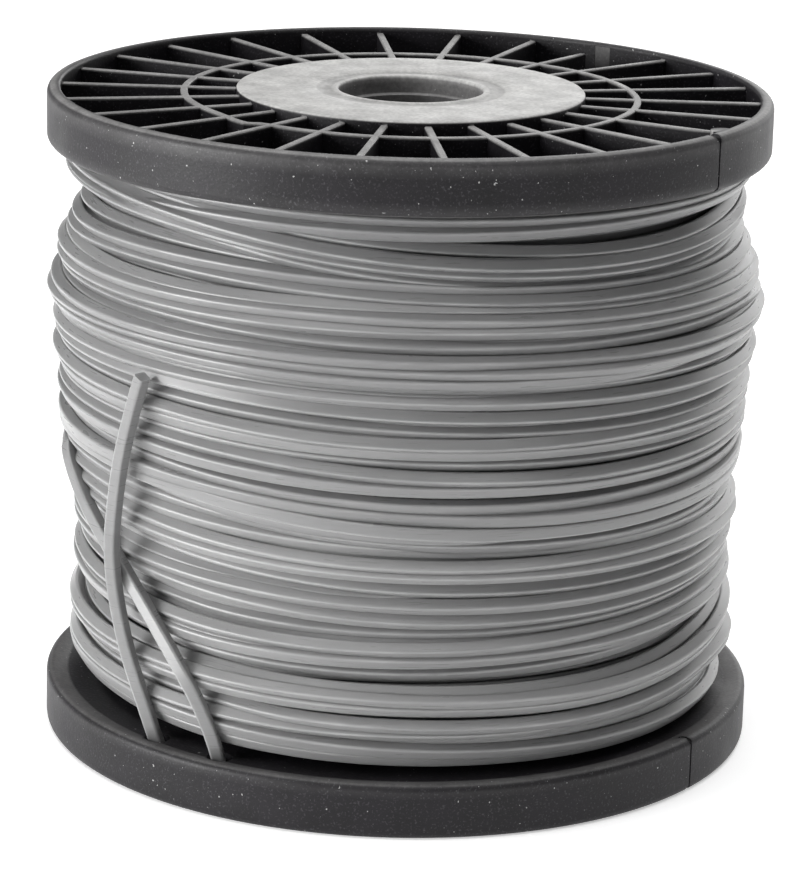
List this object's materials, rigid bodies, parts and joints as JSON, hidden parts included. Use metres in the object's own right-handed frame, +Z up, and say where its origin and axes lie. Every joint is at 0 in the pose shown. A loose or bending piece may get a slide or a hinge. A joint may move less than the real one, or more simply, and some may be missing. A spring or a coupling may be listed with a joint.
{
  "type": "spool of trimmer line",
  "caption": "Spool with two ribbed flanges on a core tube, wound full of square nylon trimmer line, its tail laced through the lower flange.",
  "frame": {"origin": "on the spool's axis, in the plane that the lower flange's rim stands on", "axes": "+Z up along the spool's axis, -Y towards the front that the picture shows"},
  "size_m": [0.152, 0.152, 0.1385],
  "materials": {
    "flange_plastic": "moulded, scuffed, satin on flat faces",
    "core_plastic": "moulded",
    "nylon_line": "clear grey extruded nylon, satin"
  },
  "bodies": {
    "root": {"upper_flange": "flange_plastic", "lower_flange": "flange_plastic", "core_tube": "core_plastic", "wound_line": "nylon_line", "line_tail": "nylon_line"}
  },
  "joints": []
}
